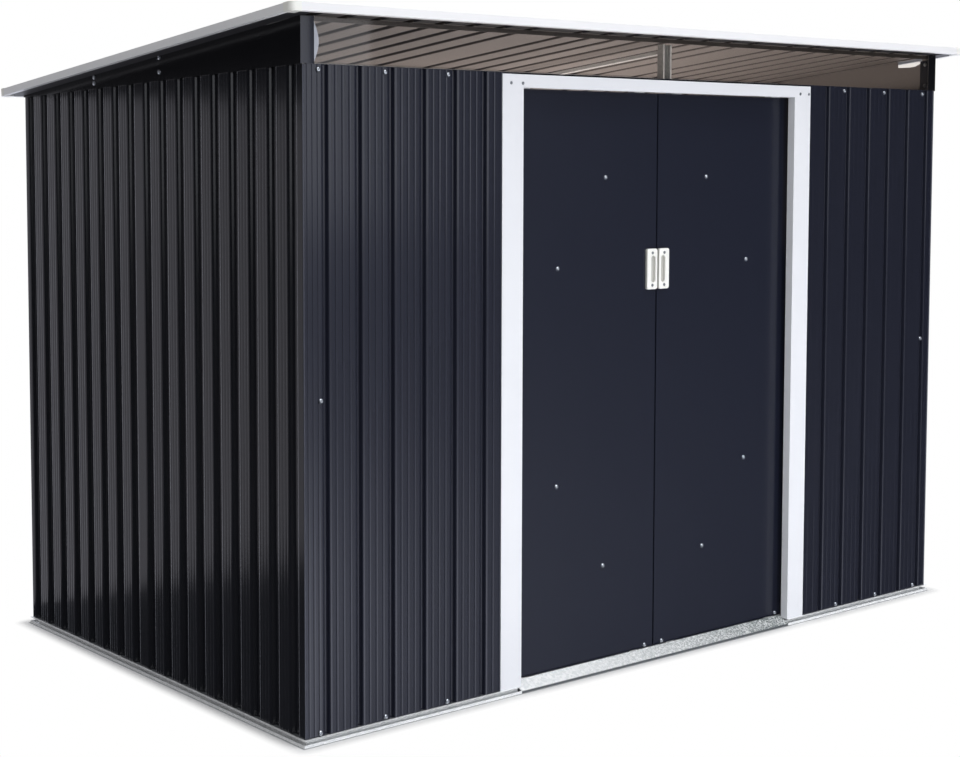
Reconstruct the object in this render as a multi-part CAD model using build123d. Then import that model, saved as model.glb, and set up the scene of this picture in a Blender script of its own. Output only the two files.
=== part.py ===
from build123d import *
from math import atan2, cos, degrees, hypot, radians, sin, tan
import os

# Metal storage shed with a pent roof, two sliding doors and a clear window band over the front wall.
# Millimetres. The front faces -Y, +Z is up, the origin is on the ground at the centre of the roof's plan.

# Walls: folded steel sheets with narrow vertical grooves and shallow pressed swages between them
wall_width = 2395
wall_depth = 1440
front_wall_top = 1600
side_wall_fall = 42
sheet = 0.5
groove_depth = 10.5
groove_slope = 4
front_groove_mouth = 15
side_groove_mouth = 31
front_groove_pitch = 96
side_groove_pitch = 85
front_left_edge_flat = 65
front_right_edge_flat = 41
side_edge_flat = 44.5
swage_depth = 0.4
swage_width = 6
swages_per_flat = 3
back_sheets = 3
side_sheet_grooves = 9

# Base rails: galvanised sections that stand on the ground and carry the sheets
rail_gauge = 1.2
rail_height = 18
rail_lip = 6
rail_toe_height = 7
rail_foot = 45
rail_upstand = 28
anchor_hole = 8
anchor_inset = 28
anchor_spacing = 900

# Corner posts and top rails inside the sheets
post_leg = 55
top_rail_face = 38
top_rail_flange = 25
front_rail_depth = 70

# Door frame
door_opening = 1050
jamb_face = 70
jamb_return = 22
jamb_hem = 20
frame_gauge = 1.2
header_face = 33
header_drop = 36
header_gap = 0.8
sheet_behind_jamb = 42

# Door track and threshold
track_lip = 26
track_ledge = 6
sill_toe = 25
sill_edge = 6
sill_crest_place = 31
sill_crest_rise = 10
sill_depth = 66

# Sliding doors
door_set_back = 40
door_depth = 20
door_gauge = 0.8
door_head_gap = 10
door_lap = 32
door_seam = 5
door_floor_gap = 6
seat_clearance = 0.3
brace_width = 30
brace_gauge = 1.5
brace_heights_upper = (1095, 1334)
brace_heights_lower = (516, 279)
brace_outer_inset = 157
brace_inner_inset = 193
handle_width = 42
handle_height = 112
handle_depth = 12
handle_corner = 6
handle_lip = 3
handle_scoop = 9
handle_scoop_length = 74
handle_low = 1026
handle_edge = 1
hanger_width = 40
hanger_gauge = 2
hanger_overlap = 40
hanger_inset = 70
glide_length = 30
glide_height = 8
guide_width = 12

# Roof: sheets with raised ribs from front to back, edge trims and corner caps
window_band = 115
roof_fall = 155
front_overhang = 56
side_overhang = 67
back_overhang = 25
trim_height = 20
trim_gauge = 1
trim_lower_flange = 14
trim_upper_flange = 18
roof_edge_gap = 2
roof_rib_pitch = 96
roof_rib_foot = 30
roof_rib_crest = 18
roof_rib_height = 13
roof_sheets = 3
cap_size = 30
cap_round = 14
cap_wall = 2
cap_proud = 1

# Roof frame
purlin_height = 28
purlin_flange = 20
purlin_places = (646, 1001)
rafter_height = 25
rafter_flange = 20
roof_rail_face = 11
roof_rail_flange = 20
roof_rail_set_back = 8
centre_post_width = 34
centre_post_depth = 25

# Gables and window panes
gable_stand_off = 4.5
gable_gauge = 0.8
gable_return = 37
gable_lap = 3
vent_start = 48
vent_flat_start = 95
vent_end = 143
vent_drop = 18
vent_steps = 4
pane = 2
pane_lap = 18
pane_top_gap = 2

overrun = 20

# Places worked out from the sizes
roof_run = front_overhang + wall_depth + back_overhang
roof_front_low = front_wall_top + window_band
roof_length = hypot(roof_run, roof_fall)
roof_angle = degrees(atan2(roof_fall, roof_run))
roof_front_y = -(roof_run + trim_height * sin(radians(roof_angle))) / 2
roof_left_x = -wall_width / 2 - side_overhang
front_y = roof_front_y + front_overhang
back_y = front_y + wall_depth
left_x = -wall_width / 2
right_x = wall_width / 2
lining = groove_depth + sheet
jamb_inner_x = door_opening / 2
jamb_outer_x = jamb_inner_x + jamb_face
header_low = front_wall_top - header_drop
front_rail_low = header_low + frame_gauge + header_gap
track_floor = front_wall_top - track_lip
door_low = rail_height + door_floor_gap
door_top = track_floor - rail_gauge - door_head_gap
roof_place = Location((0, roof_front_y, roof_front_low), (-roof_angle, 0, 0))


def roof_under(y):
    """Height of the roof sheets' underside over a place y."""
    fall = (y - roof_front_y) * tan(radians(roof_angle))
    return roof_front_low - fall + trim_gauge / cos(radians(roof_angle))


def side_top(y):
    """Height of the gable's lower edge, which falls towards the back."""
    return front_wall_top - side_wall_fall * (y - front_y) / wall_depth


# Each wall is drawn by a place along it and a depth behind its outer face.
def front(along, depth):
    return (along, front_y + depth)


def back(along, depth):
    return (along, back_y - depth)


def left(along, depth):
    return (left_x + depth, along)


def right(along, depth):
    return (right_x - depth, along)


# The roof's edges are drawn the same way, in the plane of the roof.
def eave_front(along, depth):
    return (along, depth)


def eave_back(along, depth):
    return (along, roof_length - depth)


def verge_left(along, depth):
    return (roof_left_x + depth, along)


def verge_right(along, depth):
    return (-roof_left_x - depth, along)


def prism(points, low, high):
    """Upright solid over a closed plan outline."""
    face = make_face(Polyline(*[(x, y, low) for x, y in points], close=True))
    return extrude(face, amount=high - low, dir=(0, 0, 1))


def side_plate(points, x_low, x_high):
    """Solid with a side outline of (y, z) points between two x planes."""
    face = make_face(Polyline(*[(x_low, y, z) for y, z in points], close=True))
    return extrude(face, amount=x_high - x_low, dir=(1, 0, 0))


def cross_plate(points, y_low, y_high):
    """Solid with a front outline of (x, z) points between two y planes."""
    face = make_face(Polyline(*[(x, y_low, z) for x, z in points], close=True))
    return extrude(face, amount=y_high - y_low, dir=(0, 1, 0))


def bar(side, span, depth, height, mitres=(0, 0)):
    """Straight bar along a wall, with square (0) or mitred (1) ends."""
    (start, end), (outer, inner), (low, high) = span, depth, height
    first, last = mitres
    points = [
        side(start + first * outer, outer),
        side(end - last * outer, outer),
        side(end - last * inner, inner),
        side(start + first * inner, inner),
    ]
    return prism(points, low, high)


def block(x_span, y_span, z_span):
    """Plain block between limits."""
    (x0, x1), (y0, y1), (z0, z1) = x_span, y_span, z_span
    return prism([(x0, y0), (x1, y0), (x1, y1), (x0, y1)], z0, z1)


def save(name, shape):
    export_step(shape, os.path.join("parts", name + ".step"))


os.makedirs("parts", exist_ok=True)


# Wall sheets
def grooves_from(first, limit, pitch):
    """Groove centres from a first place, at a pitch, as far as a limit on either hand."""
    step = pitch if limit > first else -pitch
    count = int((limit - first) / step) + 1
    return sorted(first + step * index for index in range(count))


def sheet_line(start, end, grooves, mouth):
    """Outer line of a sheet: flats with swages between trapezoid grooves, as (along, depth)."""
    line = [(start, 0)]
    edges = [start] + grooves + [end]
    for near, far in zip(edges, edges[1:]):
        flat_start = near if near == start else near + mouth / 2
        flat_end = far if far == end else far - mouth / 2
        gap = (flat_end - flat_start) / (swages_per_flat + 1)
        if gap > swage_width:
            for index in range(swages_per_flat):
                place = flat_start + gap * (index + 1)
                line += [(place - swage_width / 2, 0), (place, swage_depth), (place + swage_width / 2, 0)]
        if far != end:
            line += [
                (far - mouth / 2, 0),
                (far - mouth / 2 + groove_slope, groove_depth),
                (far + mouth / 2 - groove_slope, groove_depth),
                (far + mouth / 2, 0),
            ]
    return line + [(end, 0)]


def wall_sheet(side, start, end, grooves, mouth, top):
    line = sheet_line(start, end, grooves, mouth)
    outline = line + [(along, depth + sheet) for along, depth in reversed(line)]
    return prism([side(along, depth) for along, depth in outline], rail_height, top)


sheet_limit = front_groove_mouth
front_left_end = -jamb_outer_x + sheet_behind_jamb
front_left_grooves = grooves_from(
    left_x + front_left_edge_flat, -jamb_outer_x - sheet_limit, front_groove_pitch
)
front_left_sheet = wall_sheet(
    front, left_x, front_left_end, front_left_grooves, front_groove_mouth, front_wall_top
)
save("front_wall_left", front_left_sheet)

front_right_grooves = grooves_from(
    right_x - front_right_edge_flat, jamb_outer_x + sheet_limit, front_groove_pitch
)
front_right_sheet = wall_sheet(
    front, -front_left_end, right_x, front_right_grooves, front_groove_mouth, front_wall_top
)
save("front_wall_right", front_right_sheet)

back_top = roof_under(back_y) - rail_gauge
back_width = wall_width / back_sheets
for number in range(back_sheets):
    start = left_x + back_width * number
    middle = start + back_width / 2
    count = int((back_width - 2 * sheet_limit) / front_groove_pitch)
    first = middle - front_groove_pitch * (count - 1) / 2
    grooves = [first + front_groove_pitch * index for index in range(count)]
    back_sheet = wall_sheet(
        back, start, start + back_width, grooves, front_groove_mouth, back_top - rail_gauge
    )
    save(f"back_wall_{number + 1}", back_sheet)

# Side sheets stand between the front and back ones, and their tops are cut along the gable's lower edge.
# Two sheets make up a side, and they meet in the middle of a flat.
side_start = front_y + max(sheet, gable_gauge)
side_end = back_y - sheet
side_grooves = grooves_from(front_y + side_edge_flat, side_end - side_groove_mouth, side_groove_pitch)
side_joint = front_y + side_edge_flat + side_groove_pitch * (side_sheet_grooves - 1 / 2)
for hand, side in (("left", left), ("right", right)):
    edge_x = side(0, 0)[0]
    above = side_plate(
        [
            (front_y - overrun, side_top(front_y - overrun) + gable_lap),
            (back_y + overrun, side_top(back_y + overrun) + gable_lap),
            (back_y + overrun, front_wall_top + overrun),
            (front_y - overrun, front_wall_top + overrun),
        ],
        edge_x - overrun,
        edge_x + overrun,
    )
    for number, (start, end) in enumerate(((side_start, side_joint), (side_joint, side_end)), 1):
        grooves = [place for place in side_grooves if start < place < end]
        side_sheet = wall_sheet(side, start, end, grooves, side_groove_mouth, front_wall_top + gable_lap)
        save(f"{hand}_wall_{number}", side_sheet - above)


# Base rails: a foot with a turned-up toe, an upright behind the sheets and a ledge that carries them
def base_rail(side, start, end, mitres):
    span = (start, end)
    upright = (lining, lining + rail_gauge)
    foot = bar(side, span, (-rail_lip, rail_foot), (0, rail_gauge), mitres)
    foot += bar(side, span, (-rail_lip, rail_gauge - rail_lip), (rail_gauge, rail_toe_height), mitres)
    web = bar(side, span, upright, (rail_gauge, rail_height + rail_upstand), mitres)
    ledge = bar(side, span, (-rail_lip, lining), (rail_height - rail_gauge, rail_height), mitres)
    return foot + web + ledge


rail_end_x = jamb_inner_x + frame_gauge
save("base_rail_front_left", base_rail(front, left_x, -rail_end_x, (1, 0)))
save("base_rail_front_right", base_rail(front, rail_end_x, right_x, (0, 1)))
save("base_rail_back", base_rail(back, left_x, right_x, (1, 1)))
middle_y = (front_y + back_y) / 2
for hand, side in (("left", left), ("right", right)):
    rail = base_rail(side, front_y, back_y, (1, 1))
    for place in (middle_y - anchor_spacing / 2, middle_y + anchor_spacing / 2):
        x, y = side(place, anchor_inset)
        rail -= Pos(x, y, 0) * Cylinder(anchor_hole / 2, overrun)
    save(f"base_rail_{hand}", rail)

# Threshold: a folded strip between the jambs, with a ramp up to a crest that hides the doors' lower edges
# and a bed behind it, level with the base rails, where the doors' guides run
sill_crest = rail_height + sill_crest_rise
sill_run = sill_toe + sill_crest_place
sill_rise = sill_crest - sill_edge
ramp_drop = rail_gauge * hypot(sill_run, sill_rise) / sill_run
sill_outer = [
    (-sill_toe, 0),
    (-sill_toe, sill_edge),
    (sill_crest_place, sill_crest),
    (sill_crest_place, rail_height),
    (sill_depth, rail_height),
    (sill_depth, 0),
]
sill_inner = [
    (rail_gauge - sill_toe, 0),
    (rail_gauge - sill_toe, sill_edge + rail_gauge * sill_rise / sill_run - ramp_drop),
    (sill_crest_place - rail_gauge, sill_crest - rail_gauge * sill_rise / sill_run - ramp_drop),
    (sill_crest_place - rail_gauge, rail_height - rail_gauge),
    (sill_depth - rail_gauge, rail_height - rail_gauge),
    (sill_depth - rail_gauge, 0),
]
sill_line = [(front_y + depth, z) for depth, z in sill_outer + sill_inner[::-1]]
save("door_threshold", side_plate(sill_line, -jamb_inner_x, jamb_inner_x))

# Corner posts: angles inside the sheets, from the base rails up to the top rails
side_rail_start = front_y + front_rail_depth
side_rail_end = back_y - lining - top_rail_flange
back_rail_low = back_top - top_rail_face
back_post_top = min(back_rail_low, side_top(side_rail_end) - top_rail_face)
post_low = rail_height + rail_upstand
for name, end, edge, top in (
    ("front_left", front, left, front_rail_low),
    ("front_right", front, right, front_rail_low),
    ("back_left", back, left, back_post_top),
    ("back_right", back, right, back_post_top),
):
    corner_x = edge(0, lining)[0]
    corner_y = end(0, lining)[1]
    toward_x = 1 if edge is left else -1
    toward_y = 1 if end is front else -1
    inner_x = corner_x + toward_x * rail_gauge
    inner_y = corner_y + toward_y * rail_gauge
    far_x = corner_x + toward_x * post_leg
    far_y = corner_y + toward_y * post_leg
    points = [
        (corner_x, corner_y),
        (far_x, corner_y),
        (far_x, inner_y),
        (inner_x, inner_y),
        (inner_x, far_y),
        (corner_x, far_y),
    ]
    save(f"corner_post_{name}", prism(points, post_low, top))

# Top rails: the front one has a deep flange over the doors, and the track hangs under it
rail_span = (left_x + lining, right_x - lining)
front_flange = (front_wall_top, front_wall_top + rail_gauge)
front_rail = bar(front, rail_span, (lining, lining + rail_gauge), (front_rail_low, front_wall_top))
front_rail += bar(front, rail_span, (0, front_rail_depth), front_flange)
save("front_top_rail", front_rail)

track_outer = front_rail_depth
track = bar(front, rail_span, (track_outer - rail_gauge, track_outer), (track_floor, front_wall_top))
ledge_height = (track_floor - rail_gauge, track_floor)
track += bar(front, rail_span, (track_outer - track_ledge, track_outer), ledge_height)
save("door_track", track)

back_rail = bar(back, rail_span, (lining, lining + rail_gauge), (back_rail_low, back_top))
back_rail += bar(back, rail_span, (0, lining + top_rail_flange), (back_top - rail_gauge, back_top))
save("back_top_rail", back_rail)


def side_strip(side, depth, drop):
    """Strip along a side wall that hangs from the gable's lower edge and falls with it."""
    points = [
        (side_rail_start, side_top(side_rail_start) - drop),
        (side_rail_end, side_top(side_rail_end) - drop),
        (side_rail_end, side_top(side_rail_end)),
        (side_rail_start, side_top(side_rail_start)),
    ]
    return side_plate(points, *sorted(side(0, place)[0] for place in depth))


for hand, side in (("left", left), ("right", right)):
    rail = side_strip(side, (lining, lining + rail_gauge), top_rail_face)
    rail += side_strip(side, (lining, lining + top_rail_flange), rail_gauge)
    save(f"{hand}_top_rail", rail)


# Door frame: two jambs and a header, folded from one gauge, lapped over the ends of the front sheets
def across(turn, inner, outer):
    """Span to the left (-1) or right (1) of the doorway's middle, given by its distances from there."""
    return tuple(sorted((turn * inner, turn * outer)))


jamb_height = (rail_height, header_low)
for hand, turn in (("left", -1), ("right", 1)):
    jamb = bar(front, across(turn, jamb_inner_x, jamb_outer_x), (-frame_gauge, 0), jamb_height)
    jamb += bar(front, across(turn, jamb_inner_x, jamb_inner_x + frame_gauge), (0, jamb_return), jamb_height)
    hem_depth = (jamb_return, jamb_return + frame_gauge)
    jamb += bar(front, across(turn, jamb_inner_x, jamb_inner_x + jamb_hem), hem_depth, jamb_height)
    save(f"door_jamb_{hand}", jamb)

header_span = (-jamb_outer_x, jamb_outer_x)
header = bar(front, header_span, (-frame_gauge, 0), (header_low, header_low + header_face))
header_soffit = (-jamb_inner_x, jamb_inner_x)
header += bar(front, header_soffit, (0, jamb_return), (header_low, header_low + frame_gauge))
save("door_header", header)

# Sliding doors: folded trays that hang from the track behind the front wall
door_front = front_y + door_set_back
door_back = door_front + door_depth
door_width = jamb_inner_x + door_lap - door_seam / 2
inner_edge = door_seam / 2
outer_edge = inner_edge + door_width
for hand, turn in (("left", -1), ("right", 1)):
    tray = block(across(turn, inner_edge, outer_edge), (door_front, door_back), (door_low, door_top))
    tray -= block(
        across(turn, inner_edge + door_gauge, outer_edge - door_gauge),
        (door_front + door_gauge, door_back + overrun),
        (door_low + door_gauge, door_top - door_gauge),
    )
    save(f"{hand}_door", tray)

    # Two sloping braces lie flat on the back of the front face, where the bolts come through.
    brace_inner = inner_edge + brace_inner_inset
    brace_outer = outer_edge - door_lap - brace_outer_inset
    braces = []
    for outer_z, inner_z in (brace_heights_upper, brace_heights_lower):
        rise = inner_z - outer_z
        run = brace_inner - brace_outer
        length = hypot(run, rise)
        along_x, along_z = run / length, rise / length
        half = brace_width / 2
        corners = []
        for end, side_sign in ((-1, -1), (1, -1), (1, 1), (-1, 1)):
            base_x = brace_inner if end > 0 else brace_outer
            base_z = inner_z if end > 0 else outer_z
            x = base_x + half * (end * along_x - side_sign * along_z)
            z = base_z + half * (end * along_z + side_sign * along_x)
            corners.append((turn * x, z))
        braces.append(cross_plate(corners, door_front + door_gauge, door_front + door_gauge + brace_gauge))
    save(f"{hand}_door_braces", Compound(children=braces))

    # The handle is a moulded plate with round corners and an upright finger scoop between its two screws.
    handle_inner = inner_edge + handle_edge
    handle_outer = handle_inner + handle_width
    handle_front = door_front - handle_depth
    handle_z = (handle_low, handle_low + handle_height)
    handle = block(across(turn, handle_inner, handle_outer), (handle_front, door_front), handle_z)
    handle = fillet(handle.edges().filter_by(Axis.Y), handle_corner)
    handle = fillet(handle.faces().sort_by(Axis.Y)[0].edges(), handle_lip)
    scoop_x = turn * (handle_inner + handle_outer) / 2
    scoop_z = handle_low + handle_height / 2
    handle -= Pos(scoop_x, handle_front, scoop_z) * Cylinder(handle_scoop, handle_scoop_length)
    save(f"{hand}_door_handle", handle)

    # Hangers rise from the tray's top flange, and nylon glides on them ride on the track's ledge.
    hanger_back = front_y + track_outer - track_ledge - 2 * seat_clearance
    hanger_front = hanger_back - hanger_gauge
    glide_low = track_floor + seat_clearance
    hangers = []
    glides = []
    for middle in (inner_edge + hanger_inset, outer_edge - hanger_inset):
        plate_span = across(turn, middle - hanger_width / 2, middle + hanger_width / 2)
        foot_y = (door_back - hanger_overlap / 2, hanger_back)
        foot = block(plate_span, foot_y, (door_top, door_top + hanger_gauge))
        stem = block(
            plate_span,
            (hanger_front, hanger_back),
            (door_top + hanger_gauge, glide_low + glide_height),
        )
        hangers.append(foot + stem)
        glide_span = across(turn, middle - glide_length / 2, middle + glide_length / 2)
        glide_y = (hanger_back, front_y + track_outer - rail_gauge - seat_clearance)
        glides.append(block(glide_span, glide_y, (glide_low, glide_low + glide_height)))
        guide_y = ((door_front + door_back - guide_width) / 2, (door_front + door_back + guide_width) / 2)
        glides.append(block(glide_span, guide_y, (rail_height + seat_clearance, door_low)))
    save(f"{hand}_door_hangers", Compound(children=hangers))
    save(f"{hand}_door_glides", Compound(children=glides))

# Gables: folded plates that stand off the side walls, with a return across the front
# and a shallow vent under the roof, whose front end curves up
gable_outer = right_x + gable_stand_off
gable_inner = gable_outer - gable_gauge
gable_low_edge = [(front_y, side_top(front_y)), (back_y, side_top(back_y))]
vent_back_y = front_y + vent_end
vent_front_y = front_y + vent_start
vent_low = roof_under(vent_back_y) - vent_drop
vent_line = [(vent_back_y, roof_under(vent_back_y)), (vent_back_y, vent_low)]
for step in range(vent_steps + 1):
    turn = radians(90 * step / vent_steps)
    vent_line.append((
        vent_front_y + (vent_flat_start - vent_start) * (1 - sin(turn)),
        vent_low + (roof_under(vent_front_y) - vent_low) * (1 - cos(turn)),
    ))
gable_line = gable_low_edge + [(back_y, roof_under(back_y))] + vent_line + [(front_y, roof_under(front_y))]
hem_line = gable_low_edge + [(y, z + gable_gauge) for y, z in reversed(gable_low_edge)]
return_height = (front_wall_top + rail_gauge, roof_under(front_y + gable_gauge))
for hand, turn in (("left", -1), ("right", 1)):
    plate = side_plate(gable_line, *across(turn, gable_inner, gable_outer))
    hem = side_plate(hem_line, *across(turn, right_x, gable_inner))
    return_span = across(turn, gable_inner - gable_return, gable_inner)
    front_return = bar(front, return_span, (0, gable_gauge), return_height)
    save(f"gable_{hand}", plate + hem + front_return)

# Window band: two clear panes behind the gable returns, meeting on a centre post
pane_front = front_y + gable_gauge
pane_back = pane_front + pane
pane_low = front_wall_top + rail_gauge
pane_top = roof_under(pane_back) - pane_top_gap
pane_end = gable_inner - gable_return + pane_lap
for hand, turn in (("left", -1), ("right", 1)):
    pane_span = across(turn, 0, pane_end)
    save(f"window_pane_{hand}", block(pane_span, (pane_front, pane_back), (pane_low, pane_top)))

post_top = roof_under(pane_back + centre_post_depth) - roof_rail_face - pane_top_gap
half_post = centre_post_width / 2
post_z = (pane_low, post_top)
web_front = pane_back + centre_post_depth - rail_gauge
centre_post = block((-half_post, half_post), (web_front, web_front + rail_gauge), post_z)
for edge in (-half_post, half_post - rail_gauge):
    centre_post += block((edge, edge + rail_gauge), (pane_back, web_front), post_z)
save("centre_post", centre_post)

# Roof sheets, drawn flat in the plane of the roof and then tilted into place
roof_sheet_left = roof_left_x + trim_gauge + roof_edge_gap
roof_sheet_width = -2 * roof_sheet_left / roof_sheets
roof_sheet_v = (trim_gauge + roof_edge_gap, roof_length - trim_gauge - roof_edge_gap)
for number in range(roof_sheets):
    start = roof_sheet_left + roof_sheet_width * number
    end = start + roof_sheet_width
    count = int((roof_sheet_width - roof_rib_foot) / roof_rib_pitch)
    first = (start + end - (count - 1) * roof_rib_pitch) / 2
    line = [(start, trim_gauge)]
    for index in range(count):
        middle = first + index * roof_rib_pitch
        line += [
            (middle - roof_rib_foot / 2, trim_gauge),
            (middle - roof_rib_crest / 2, trim_gauge + roof_rib_height),
            (middle + roof_rib_crest / 2, trim_gauge + roof_rib_height),
            (middle + roof_rib_foot / 2, trim_gauge),
        ]
    line.append((end, trim_gauge))
    outline = line + [(x, z + sheet) for x, z in reversed(line)]
    roof_sheet = cross_plate(outline, *roof_sheet_v)
    if number in (0, roof_sheets - 1):
        verge = verge_left if number == 0 else verge_right
        for eave_span in ((-overrun, cap_round), (roof_length - cap_round, roof_length + overrun)):
            roof_sheet -= bar(verge, eave_span, (-overrun, cap_round), (-overrun, trim_height))
    save(f"roof_sheet_{number + 1}", roof_place * roof_sheet)

# Edge trims: channels that take the edges of the roof sheets, stopped at the corner caps
for name, side, start, end in (
    ("front", eave_front, roof_left_x, -roof_left_x),
    ("back", eave_back, roof_left_x, -roof_left_x),
    ("left", verge_left, 0, roof_length),
    ("right", verge_right, 0, roof_length),
):
    span = (start + cap_size, end - cap_size)
    trim = bar(side, span, (0, trim_gauge), (0, trim_height))
    trim += bar(side, span, (trim_gauge, trim_lower_flange), (0, trim_gauge))
    trim += bar(side, span, (trim_gauge, trim_upper_flange), (trim_height - trim_gauge, trim_height))
    save(f"roof_trim_{name}", roof_place * trim)


def cap_plan(inset):
    """Square plan with its outer corner rounded, drawn in by an inset."""
    size = cap_size - inset
    square = Pos(inset + size / 2, inset + size / 2) * Rectangle(size, size)
    outer_corner = square.vertices().sort_by(Axis.X)[:2].sort_by(Axis.Y)[0]
    return fillet(outer_corner, cap_round - inset)


def corner_cap():
    """Moulded cap with a rounded outer corner, open towards the roof."""
    cap_height = trim_height + 2 * cap_proud
    shell = extrude(cap_plan(0), amount=cap_height)
    hollow = extrude(cap_plan(cap_wall), amount=cap_height - 2 * cap_wall)
    return Pos(0, 0, -cap_proud) * (shell - Pos(0, 0, cap_wall) * hollow)


caps = []
for x, v, turn in (
    (roof_left_x, 0, 0),
    (-roof_left_x, 0, 90),
    (-roof_left_x, roof_length, 180),
    (roof_left_x, roof_length, 270),
):
    caps.append(roof_place * Location((x, v, 0), (0, 0, turn)) * corner_cap())
save("roof_corner_caps", Compound(children=caps))


# Roof frame under the sheets: a front rail, two purlins between the gables and a rafter below them
def along_slope(y):
    return (y - roof_front_y) / cos(radians(roof_angle))


frame_top = trim_gauge
frame_span = (-gable_inner, gable_inner)
rail_v = along_slope(front_y + roof_rail_set_back)
rail_web = (rail_v, rail_v + rail_gauge)
rail_flange = (rail_v + rail_gauge, rail_v + roof_rail_flange)
roof_rail = bar(eave_front, frame_span, rail_web, (frame_top - roof_rail_face, frame_top))
roof_rail += bar(eave_front, frame_span, rail_flange, (frame_top - rail_gauge, frame_top))
save("roof_front_rail", roof_place * roof_rail)

purlins = []
for place in purlin_places:
    v = along_slope(front_y + place)
    purlin = bar(eave_front, frame_span, (v, v + rail_gauge), (frame_top - purlin_height, frame_top))
    for low in (frame_top - purlin_height, frame_top - rail_gauge):
        purlin += bar(eave_front, frame_span, (v + rail_gauge, v + purlin_flange), (low, low + rail_gauge))
    purlins.append(roof_place * purlin)
save("roof_purlins", Compound(children=purlins))

rafter_top = frame_top - purlin_height
rafter_lean = (purlin_height + rafter_height) * tan(radians(roof_angle))
rafter_v = (
    along_slope(pane_back + centre_post_depth) + rafter_lean,
    along_slope(back_y - lining - top_rail_flange),
)
rafter_z = (rafter_top - rafter_height, rafter_top)
rafter = block((-rafter_flange / 2, -rafter_flange / 2 + rail_gauge), rafter_v, rafter_z)
for low in (rafter_z[0], rafter_z[1] - rail_gauge):
    rafter += block((-rafter_flange / 2, rafter_flange / 2), rafter_v, (low, low + rail_gauge))
save("roof_rafter", roof_place * rafter)
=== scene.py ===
from math import cos, pi, radians, sin

import bmesh
import bpy
from mathutils import Matrix, Vector


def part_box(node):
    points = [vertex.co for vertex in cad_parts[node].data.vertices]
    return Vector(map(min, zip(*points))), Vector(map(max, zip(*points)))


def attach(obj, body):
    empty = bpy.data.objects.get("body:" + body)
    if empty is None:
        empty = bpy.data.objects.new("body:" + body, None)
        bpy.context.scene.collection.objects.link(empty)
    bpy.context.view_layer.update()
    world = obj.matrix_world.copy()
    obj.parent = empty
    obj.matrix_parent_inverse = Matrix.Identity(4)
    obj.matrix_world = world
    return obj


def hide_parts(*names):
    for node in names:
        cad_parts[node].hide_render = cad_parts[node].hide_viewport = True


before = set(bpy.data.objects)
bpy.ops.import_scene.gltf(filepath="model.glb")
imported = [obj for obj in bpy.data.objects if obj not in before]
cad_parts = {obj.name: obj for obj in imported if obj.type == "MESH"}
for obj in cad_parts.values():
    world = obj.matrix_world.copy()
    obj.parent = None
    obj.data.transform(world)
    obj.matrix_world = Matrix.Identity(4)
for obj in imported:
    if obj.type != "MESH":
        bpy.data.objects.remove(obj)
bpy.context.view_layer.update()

# Base rails: folded from hot-dip galvanised steel strip, mitred at the corners; they carry the wall sheets.
# The zinc froze in flat crystals, so the strip shows pale and grey spangles with an uneven, soft gloss.
# A painted shade darkens the upper part of the recess between its two lips, and the ledge above it, behind
# the faces of the walls.
wall_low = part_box("front_wall_left")[0]
wall_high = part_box("front_wall_right")[1]
front_y = wall_low.y
back_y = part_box("back_wall_1")[1].y
middle_y = (front_y + back_y) / 2
left_x = wall_low.x
right_x = wall_high.x
rail_spangle = 0.009
rail_painted_shade = "#5d6063"
recess_reach = 0.0004
recess_low = 0.0085
recess_high = 0.0135


def linear(code):
    """Linear colour of an sRGB hex value."""
    channels = [int(code[start:start + 2], 16) / 255 for start in (1, 3, 5)]
    return [c / 12.92 if c <= 0.04045 else ((c + 0.055) / 1.055) ** 2.4 for c in channels] + [1]


def set_inputs(tree, node, inputs):
    """Gives a node's inputs their values or links."""
    for socket, value in inputs.items():
        if isinstance(value, bpy.types.NodeSocket):
            tree.links.new(value, node.inputs[socket])
        else:
            node.inputs[socket].default_value = value


def add_node(tree, kind, inputs=None, **settings):
    """Adds a node with its settings, input values and links."""
    node = tree.nodes.new("ShaderNode" + kind)
    for name, value in settings.items():
        setattr(node, name, value)
    set_inputs(tree, node, inputs or {})
    return node


def new_material(name):
    """A new material with its tree, its shader and the places on its surface."""
    material = bpy.data.materials.new(name)
    material.use_nodes = True
    tree = material.node_tree
    return material, tree, tree.nodes["Principled BSDF"], add_node(tree, "TexCoord")


def dress(material, *nodes):
    """Gives CAD nodes their finish."""
    for name in nodes:
        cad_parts[name].material_slots[0].material = material


def galvanised(name, spangle, pale, grey, smooth, rough, bare):
    """Galvanised steel: each crystal has its own grey and gloss; bare is the share without a pale patina."""
    material, tree, shader, place = new_material(name)
    crystal = add_node(tree, "TexVoronoi", {"Vector": place.outputs["Object"], "Scale": 1 / spangle})
    tone = add_node(tree, "SeparateColor", {"Color": crystal.outputs["Color"]})
    mottle = add_node(
        tree, "TexNoise", {"Vector": place.outputs["Object"], "Scale": 4 / spangle, "Detail": 4}
    )
    blend = add_node(tree, "Math", {0: tone.outputs["Red"], 1: mottle.outputs["Fac"]}, operation="MULTIPLY")
    colour = add_node(
        tree, "Mix", {"Factor": blend.outputs[0], 6: linear(pale), 7: linear(grey)}, data_type="RGBA"
    )
    gloss = add_node(tree, "MapRange", {"Value": tone.outputs["Green"], "To Min": smooth, "To Max": rough})
    relief = add_node(
        tree, "Bump", {"Height": crystal.outputs["Distance"], "Strength": 0.25, "Distance": 0.0008}
    )
    set_inputs(tree, shader, {
        "Base Color": colour.outputs[2],
        "Metallic": bare,
        "Roughness": gloss.outputs[0],
        "Normal": relief.outputs[0],
    })
    return material


def overlay(material, share, tone):
    """Lays a second tone over a material's colour by a share."""
    tree = material.node_tree
    shader = tree.nodes["Principled BSDF"]
    under = shader.inputs["Base Color"].links[0].from_socket
    over = add_node(tree, "Mix", {"Factor": share, 6: under, 7: linear(tone)}, data_type="RGBA")
    set_inputs(tree, shader, {"Base Color": over.outputs[2]})


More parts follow.
